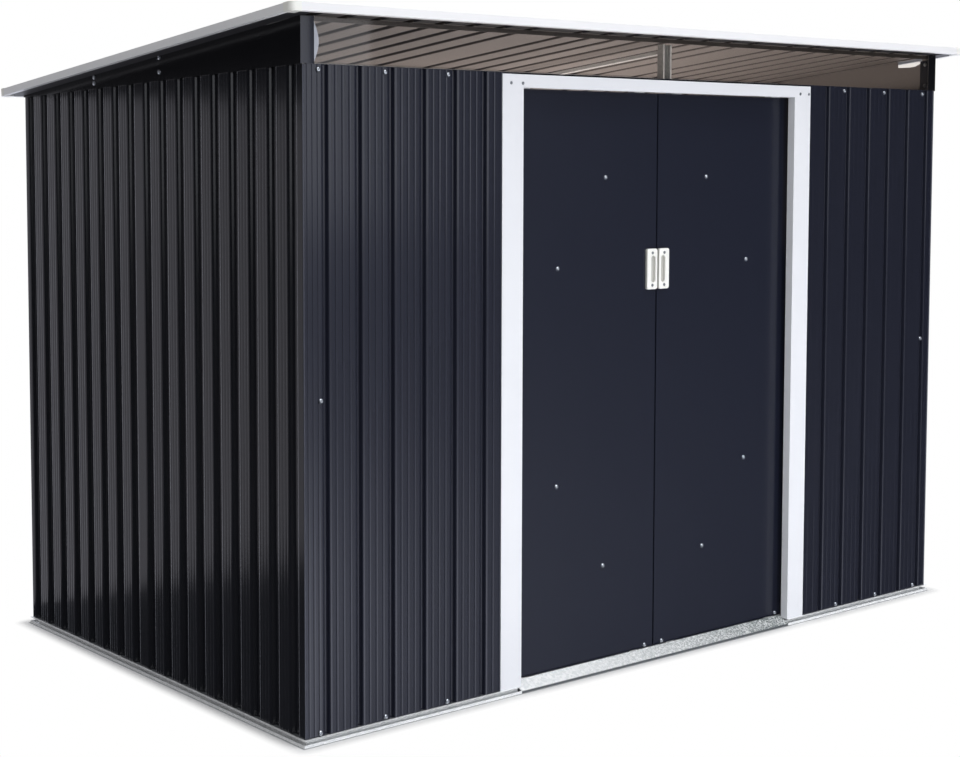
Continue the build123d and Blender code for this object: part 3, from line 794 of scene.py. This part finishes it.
# Gable return: the front face of the left gable, in the same coat as the front wall.
# It is bowed a little, as thin sheet is between its two folds, and so its gloss fades across.
return_width = 0.0376
return_bow = 0.0006
return_proud = 0.0002
return_steps = 8
return_foot = 1.6012
return_top = 1.7085
return_skin = 0.0001
return_line = []
for step in range(return_steps + 1):
    share = step / return_steps
    bulge = return_proud + return_bow * sin(pi * share)
    return_line.append((-gable_outer + return_width * share, front_y - bulge, return_foot))
returned = bmesh.new()
folded_strip(returned, return_line, (0, 0, return_top - return_foot), return_skin)
crease(returned, crease_angle)
for quad in returned.faces:
    quad.smooth = True
new_piece("gable_left_return_face", returned, front_coat, "shed")

# Gable brackets: dark steel angles inside the front corners of the window band.
# One leg is bolted to the gable with blackened bolts, and the other lies behind its return.
bracket_gauge = 0.0015
bracket_gable_leg = 0.055
bracket_return_leg = 0.032
bracket_inset = 0.0028
bracket_behind_pane = 0.002
bracket_foot = front_top + 0.003
bracket_top = 1.696
bracket_bolt_depth = 0.036
bracket_bolt_heights = (1.618, 1.684)
bracket_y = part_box("window_pane_left")[1].y + bracket_behind_pane
brackets = bmesh.new()
bracket_bolts = bmesh.new()
for turn in (-1, 1):
    corner_x = turn * (gable_outer - bracket_inset)
    line = [
        (corner_x, front_y + bracket_gable_leg, bracket_foot), (corner_x, bracket_y, bracket_foot),
        (corner_x - turn * bracket_return_leg, bracket_y, bracket_foot),
    ]
    folded_strip(brackets, line, (0, 0, bracket_top - bracket_foot), bracket_gauge)
    for z in bracket_bolt_heights:
        place = (corner_x - turn * bracket_gauge, front_y + bracket_bolt_depth, z)
        set_at(bracket_bolts, pan_head, place, (-turn, 0, 0))
new_piece("gable_brackets", brackets, front_coat, "shed")
new_piece("gable_bracket_bolts", bracket_bolts, screw_black, "shed")

# Window band: two clear PVC panes behind the gable returns, meeting on the centre post under a dark rail.
# The thin sheet lets the light through and mirrors it at a flat angle, with a faint haze in its gloss.
# The rail along the roof's front edge has a dull dark primer.
pane_haze = 0.03
pane_index = 1.54
rail_primer = powder_coat("primed_steel_dark", "#45423f", "#3c3937")
dress(rail_primer, "roof_front_rail")
clear, clear_tree, clear_shader, clear_place = new_material("clear_pvc_sheet")
haze = add_node(
    clear_tree, "TexNoise", {"Vector": clear_place.outputs["Object"], "Scale": 1 / pane_haze, "Detail": 3}
)
haze_gloss = add_node(clear_tree, "MapRange", {"Value": haze.outputs["Fac"], "To Min": 0.01, "To Max": 0.06})
set_inputs(clear_tree, clear_shader, {
    "Base Color": linear("#eeeae6"),
    "IOR": pane_index,
    "Roughness": haze_gloss.outputs[0],
    "Metallic": 1,
})
through = add_node(clear_tree, "BsdfTransparent", {"Color": linear("#f6f3f0")})
edge_on = add_node(clear_tree, "Fresnel", {"IOR": pane_index})
sides = add_node(clear_tree, "NewGeometry")
outer_side = add_node(clear_tree, "Math", {0: 1, 1: sides.outputs["Backfacing"]}, operation="SUBTRACT")
mirrored = add_node(
    clear_tree, "Math", {0: edge_on.outputs[0], 1: outer_side.outputs[0]}, operation="MULTIPLY"
)
thin = add_node(
    clear_tree, "MixShader", {0: mirrored.outputs[0], 1: through.outputs[0], 2: clear_shader.outputs[0]}
)
clear_tree.links.new(thin.outputs[0], clear_tree.nodes["Material Output"].inputs["Surface"])
dress(clear, "window_pane_left", "window_pane_right")

# Centre post: a lipped channel of galvanised steel behind the joint of the panes, open to the front.
# Its rounded lips catch the light, and two bolts show in the shade between them.
post_low, post_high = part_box("centre_post")
post_gauge = 0.0012
post_lip = 0.006
post_lip_fall = 0.002
post_bolt_inset = 0.014
post_left, post_right = post_low.x + post_gauge / 2, post_high.x - post_gauge / 2
post_front, post_back = post_low.y + post_gauge / 2, post_high.y - post_gauge / 2
post_shoulder = post_front + post_lip_fall
post_profile = (
    (post_left + post_lip, post_shoulder), (post_left + post_lip / 2, post_front), (post_left, post_shoulder),
    (post_left, post_back), (post_right, post_back),
    (post_right, post_shoulder), (post_right - post_lip / 2, post_front),
    (post_right - post_lip, post_shoulder),
)
post = bmesh.new()
post_line = [(x, y, post_low.z) for x, y in post_profile]
folded_strip(post, post_line, (0, 0, post_high.z - post_low.z), post_gauge / 2)
post_piece = new_piece("centre_post_lipped", post, frame_zinc, "shed")
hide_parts("centre_post")
post_bolts = bmesh.new()
for z in (post_low.z + post_bolt_inset, post_high.z - post_bolt_inset):
    set_at(post_bolts, pan_head, (0, post_back - post_gauge, z), (0, -1, 0))
new_piece("centre_post_bolts", post_bolts, screw_zinc, "shed")

# Pane end: the left pane's end, which bows out a little past the gable's return. A pale grey opaque plate
# there is a painted highlight, where the bowed edge catches the light.
bow_width = 0.013
bow_low = 1.606
bow_high = 1.698
bow_steps = 12
bow_gauge = 0.0004
bow_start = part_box("gable_left")[0].x + 0.0378
bow_face = front_y + 0.0002
# Painted highlight: a pale grey opaque plate on the pane's bowed end.
bow_highlight = moulded("clear_pvc_bowed_edge_highlight", "#b4b7c0", "#a2a5ae", 0.1, 0.2)
bow_outline = []
for step in range(bow_steps + 1):
    share = step / bow_steps
    bulge_x = bow_start + bow_width * sin(pi * share)
    bow_outline.append((bulge_x, bow_face, bow_low + (bow_high - bow_low) * share))
bow = bmesh.new()
plate(bow, bow_outline, bow_gauge)
new_piece("pane_left_bowed_end", bow, bow_highlight, "shed")

# Roof rafter: a shallow channel of galvanised steel under the purlins, from the centre post to the back wall.
# Its pale lower face shows as a bright line through the panes.
rafter_low, rafter_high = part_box("roof_rafter")
roof_slope = 0.1022
rafter_depth = 0.009
rafter_gauge = 0.0012
rafter_run = rafter_high.y - rafter_low.y
rafter_half = rafter_high.x - rafter_gauge
rafter_profile = (
    (-rafter_half, 0), (-rafter_half, rafter_depth), (rafter_half, rafter_depth), (rafter_half, 0)
)
rafter_zinc = galvanised("galvanised_steel_rafter", frame_spangle, "#f2f3f3", "#d6dada", 0.3, 0.42, 0.2)
rafter = bmesh.new()
rafter_line = [(x, rafter_low.y, rafter_high.z - drop) for x, drop in rafter_profile]
folded_strip(rafter, rafter_line, (0, rafter_run, -rafter_run * roof_slope), rafter_gauge)
rafter_piece = new_piece("roof_rafter_channel", rafter, rafter_zinc, "shed")
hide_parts("roof_rafter")

# Roof sheets: coated steel with raised ribs from front to back, dark on top and grey-brown below.
# The overhang's underside outside the walls and the hollows of the ribs underneath are painted dark as
# painted shade.
roof_plane = 1.6383
rib_start = 0.0015
under_limit = 0.05
rib_painted_shade = "#3d3633"
soffit_painted_shade = "#26262a"
roof_coat = coil_coat("coil_coated_steel_roof", (0, 0, 1), "#191c27", "#1e212c")
roof_tree = roof_coat.node_tree
roof_place = add_node(roof_tree, "TexCoord")
roof_spot = add_node(roof_tree, "SeparateXYZ", {"Vector": roof_place.outputs["Object"]})
roof_side = add_node(roof_tree, "Math", {0: roof_spot.outputs["X"]}, operation="ABSOLUTE")
past_side = add_node(roof_tree, "Math", {0: roof_side.outputs[0], 1: right_x}, operation="GREATER_THAN")
past_front = add_node(roof_tree, "Math", {0: roof_spot.outputs["Y"], 1: front_y}, operation="LESS_THAN")
outside = add_node(
    roof_tree, "Math", {0: past_side.outputs[0], 1: past_front.outputs[0]}, operation="MAXIMUM"
)
below = add_node(
    roof_tree, "VectorMath", {0: roof_place.outputs["Normal"], 1: (0, 0, -1)}, operation="DOT_PRODUCT"
)
beneath = add_node(roof_tree, "Math", {0: below.outputs["Value"], 1: under_limit}, operation="GREATER_THAN")
shaded = add_node(roof_tree, "Math", {0: outside.outputs[0], 1: beneath.outputs[0]}, operation="MULTIPLY")
above = add_node(
    roof_tree, "VectorMath", {0: roof_place.outputs["Object"], 1: (0, roof_slope, 1)}, operation="DOT_PRODUCT"
)
hollow = add_node(
    roof_tree, "Math", {0: above.outputs["Value"], 1: roof_plane + rib_start}, operation="GREATER_THAN"
)
ribbed = add_node(roof_tree, "Math", {0: hollow.outputs[0], 1: beneath.outputs[0]}, operation="MULTIPLY")
# Painted shade: the ribs' hollows underneath, and the underside outside the walls, are darker.
overlay(roof_coat, ribbed.outputs[0], rib_painted_shade)
overlay(roof_coat, shaded.outputs[0], soffit_painted_shade)
dress(roof_coat, "roof_sheet_1", "roof_sheet_2", "roof_sheet_3")

# Roof trims: white powder-coated steel channels pushed over the roof's four edges and held by the caps.
# Their coat is a little warmer than the door frame's.
trim_coat = powder_coat("powder_coated_steel_trim", "#eeeeef", "#e7e7ea")
dress(trim_coat, "roof_trim_front", "roof_trim_back", "roof_trim_left", "roof_trim_right")

# Stage: a plain floor of white paper, which keeps the shed's soft shadow close to the rails, with a painted
# shadow of grey right along the rails' feet.
# Further away it is white to the camera; for the shed's matt faces its colour is painted brighter to the
# front right, as painted light.
floor_half = 20
contact_width = 0.009
shadow_width = 0.05
contact_painted_shadow = "#83868a"
paper_white = "#f0f0f0"
sheet_direction = (0.6, -0.8, 0)
rail_low, rail_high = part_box("base_rail_left")
floor_mesh = bpy.data.meshes.new("floor")
floor_form = bmesh.new()
bmesh.ops.create_grid(floor_form, x_segments=1, y_segments=1, size=floor_half)
floor_form.to_mesh(floor_mesh)
floor_form.free()
floor = bpy.data.objects.new("floor", floor_mesh)
bpy.context.scene.collection.objects.link(floor)
paper, paper_tree, paper_shader, paper_place = new_material("floor_paper")
rays = add_node(paper_tree, "LightPath")
# Painted light: for matt faces the paper's colour is brighter to the front right.
sheet = add_node(
    paper_tree, "VectorMath", {0: paper_place.outputs["Object"], 1: sheet_direction}, operation="DOT_PRODUCT"
)
sheet_painted_light = add_node(
    paper_tree, "MapRange",
    {"Value": sheet.outputs["Value"], "From Min": -1, "From Max": 0.6, "To Min": 0.25, "To Max": 0.95},
)
beyond = past_plan(paper_tree, paper_place, -rail_low.x, rail_high.y - middle_y)
clear_of = add_node(
    paper_tree, "VectorMath", {0: beyond.outputs["Vector"], 1: (0, 0, 0)}, operation="MAXIMUM"
)
away = add_node(paper_tree, "VectorMath", {0: clear_of.outputs["Vector"]}, operation="LENGTH")
contact = add_node(
    paper_tree, "MapRange", {"Value": away.outputs["Value"], "From Min": 0, "From Max": contact_width},
    interpolation_type="SMOOTHSTEP",
)
# Painted shadow: the paper is grey right at the rails' feet.
paper_tone = add_node(
    paper_tree, "Mix",
    {"Factor": contact.outputs[0], 6: linear(contact_painted_shadow), 7: linear(paper_white)}, data_type="RGBA",
)
tone = add_node(
    paper_tree, "Mix",
    {"Factor": rays.outputs["Is Diffuse Ray"], 6: paper_tone.outputs[2], 7: sheet_painted_light.outputs[0]},
    data_type="RGBA",
)
set_inputs(
    paper_tree, paper_shader, {"Base Color": tone.outputs[2], "Roughness": 0.9, "Specular IOR Level": 0}
)
glow = add_node(paper_tree, "Emission", {"Color": (1, 1, 1, 1), "Strength": 1})
fade = add_node(
    paper_tree, "MapRange", {"Value": away.outputs["Value"], "From Min": 0, "From Max": shadow_width},
    interpolation_type="SMOOTHSTEP",
)
share = add_node(
    paper_tree, "Math", {0: rays.outputs["Is Camera Ray"], 1: fade.outputs[0]}, operation="MULTIPLY"
)
mixed = add_node(
    paper_tree, "MixShader", {0: share.outputs[0], 1: paper_shader.outputs[0], 2: glow.outputs[0]}
)
paper_tree.links.new(mixed.outputs[0], paper_tree.nodes["Material Output"].inputs["Surface"])
floor_mesh.materials.append(paper)
floor.visible_glossy = False

# Light: a dim pale room, white to the camera and through clear panes, with a bright ceiling.
# Glossy faces mirror a bright sheet low in front of the doors and a pale wall behind the shed.
front_direction = (0.3, -0.954, 0)
gloss_tint = "#e9edfc"
world = bpy.data.worlds.new("studio")
world.use_nodes = True
bpy.context.scene.world = world
sky_tree = world.node_tree
sky = sky_tree.nodes["Background"]
sky_rays = add_node(sky_tree, "LightPath")
direction = add_node(sky_tree, "TexCoord")
toward = add_node(sky_tree, "SeparateXYZ", {"Vector": direction.outputs["Generated"]})
ahead = add_node(
    sky_tree, "VectorMath", {0: direction.outputs["Generated"], 1: front_direction}, operation="DOT_PRODUCT"
)
nearness = add_node(
    sky_tree, "MapRange", {"Value": ahead.outputs["Value"], "From Min": 0.75, "From Max": 0.99}
)
peak = add_node(sky_tree, "Math", {0: nearness.outputs[0], 1: 2}, operation="POWER")
lobe = add_node(sky_tree, "MapRange", {"Value": peak.outputs[0], "To Min": 0.02, "To Max": 0.42})
low_front = add_node(
    sky_tree, "MapRange",
    {"Value": toward.outputs["Z"], "From Min": -0.08, "From Max": -0.26, "To Min": 1, "To Max": 2.9},
)
ceiling = add_node(
    sky_tree, "MapRange",
    {"Value": toward.outputs["Z"], "From Min": 0.62, "From Max": 0.78, "To Min": 0, "To Max": 1.3},
    interpolation_type="SMOOTHSTEP",
)
narrow = add_node(sky_tree, "Math", {0: nearness.outputs[0], 1: 6}, operation="POWER")
sheet_glow = add_node(
    sky_tree, "MapRange",
    {"Value": toward.outputs["Z"], "From Min": -0.17, "From Max": -0.3, "To Min": 0, "To Max": 6},
)
front_sheet = add_node(
    sky_tree, "Math",
    {0: narrow.outputs[0], 1: sheet_glow.outputs[0], 2: ceiling.outputs[0]}, operation="MULTIPLY_ADD",
)
behind = add_node(sky_tree, "MapRange", {"Value": toward.outputs["Y"], "From Min": -0.2, "From Max": 0.3})
past_left = add_node(
    sky_tree, "MapRange",
    {"Value": toward.outputs["X"], "From Min": -0.25, "From Max": 0.05, "To Min": 0, "To Max": 1.7},
)
back_glow = add_node(sky_tree, "Math", {0: behind.outputs[0], 1: past_left.outputs[0]}, operation="MULTIPLY")
far_walls = add_node(sky_tree, "Math", {0: front_sheet.outputs[0], 1: back_glow.outputs[0]}, operation="ADD")
rise = add_node(
    sky_tree, "Math",
    {0: lobe.outputs[0], 1: low_front.outputs[0], 2: far_walls.outputs[0]}, operation="MULTIPLY_ADD",
)
side_light = add_node(
    sky_tree, "MapRange",
    {"Value": toward.outputs["X"], "From Min": -0.9, "From Max": 0.1, "To Min": 0.4, "To Max": 0.36},
)
diffuse_rise = add_node(
    sky_tree, "Mix",
    {"Factor": sky_rays.outputs["Is Diffuse Ray"], 2: rise.outputs[0], 3: side_light.outputs[0]},
)
seen = add_node(
    sky_tree, "Math", {0: sky_rays.outputs["Is Camera Ray"], 1: sky_rays.outputs["Is Transmission Ray"]},
    operation="MAXIMUM",
)
strength = add_node(sky_tree, "Mix", {"Factor": seen.outputs[0], 2: diffuse_rise.outputs[0], 3: 1})
sky_tint = add_node(
    sky_tree, "Mix",
    {"Factor": sky_rays.outputs["Is Glossy Ray"], 6: (1, 1, 1, 1), 7: linear(gloss_tint)}, data_type="RGBA",
)
set_inputs(sky_tree, sky, {"Color": sky_tint.outputs[2], "Strength": strength.outputs[0]})


def softbox(name, place, target, size, brightness, colour):
    """Rectangular lamp of an even brightness, aimed at a target."""
    lamp = bpy.data.lights.new(name, "AREA")
    lamp.shape = "RECTANGLE"
    lamp.size, lamp.size_y = size
    lamp.energy = brightness * pi * size[0] * size[1]
    lamp.color = linear(colour)[:3]
    box = bpy.data.objects.new(name, lamp)
    box.location = place
    box.rotation_euler = (Vector(target) - Vector(place)).to_track_quat("-Z", "Y").to_euler()
    box.visible_camera = False
    bpy.context.scene.collection.objects.link(box)
    return box


softbox("key", (2.2, -6.2, 5.0), (0, 0, 0.9), (3.4, 2.2), 1.4, "#f4f7ff")
softbox("front", (-0.45, -7, 2.5), (-0.45, 0, 2.5), (8.1, 3), 1.3, "#f4f7ff")
softbox("top", (0, -2.2, 6), (0, -2.2, 0), (4, 4), 3.6, "#ffffff")
low_fill = softbox("low_fill", (0, -2.2, 0.15), (0, 0, 0.15), (4.6, 0.25), 3.9, "#f8faff")
low_fill.visible_glossy = False
softbox("left_panel", (-2.3, 0.86, 0.795), (-2.3, -2, 0.795), (2.2, 1.55), 0.47, "#f6f4ff")
softbox("left_near_panel", (-2.5, 0.86, 0.815), (-2.5, -2, 0.815), (1.8, 1.51), 0.24, "#f6f4ff")
softbox("inside", (0.15, 0, 1.1), (0.15, 0, 2), (1.8, 1.2), 1.3, "#fcf6f4")
softbox("inside_end", (0, -0.1, 1.2), (1.2, -0.4, 1.6), (0.8, 0.5), 1.9, "#fcf6f4")

# Camera: at the photograph's height and angle, a little below the level of the roof.
# A small shift of the lens sets the shed's height in the frame.
camera_tilt = 4.059
camera_roll = -0.146
camera_heading = -39.739
camera_data = bpy.data.cameras.new("camera")
camera_data.sensor_width = 36
camera_data.lens = 65.738
camera_data.shift_y = -0.1
camera = bpy.data.objects.new("camera", camera_data)
camera.location = (-3.4641, -4.0694, 1.3851)
camera.rotation_euler = (radians(90 - camera_tilt), radians(camera_roll), radians(camera_heading))
bpy.context.scene.collection.objects.link(camera)
bpy.context.scene.camera = camera
bpy.context.scene.view_settings.view_transform = "Standard"
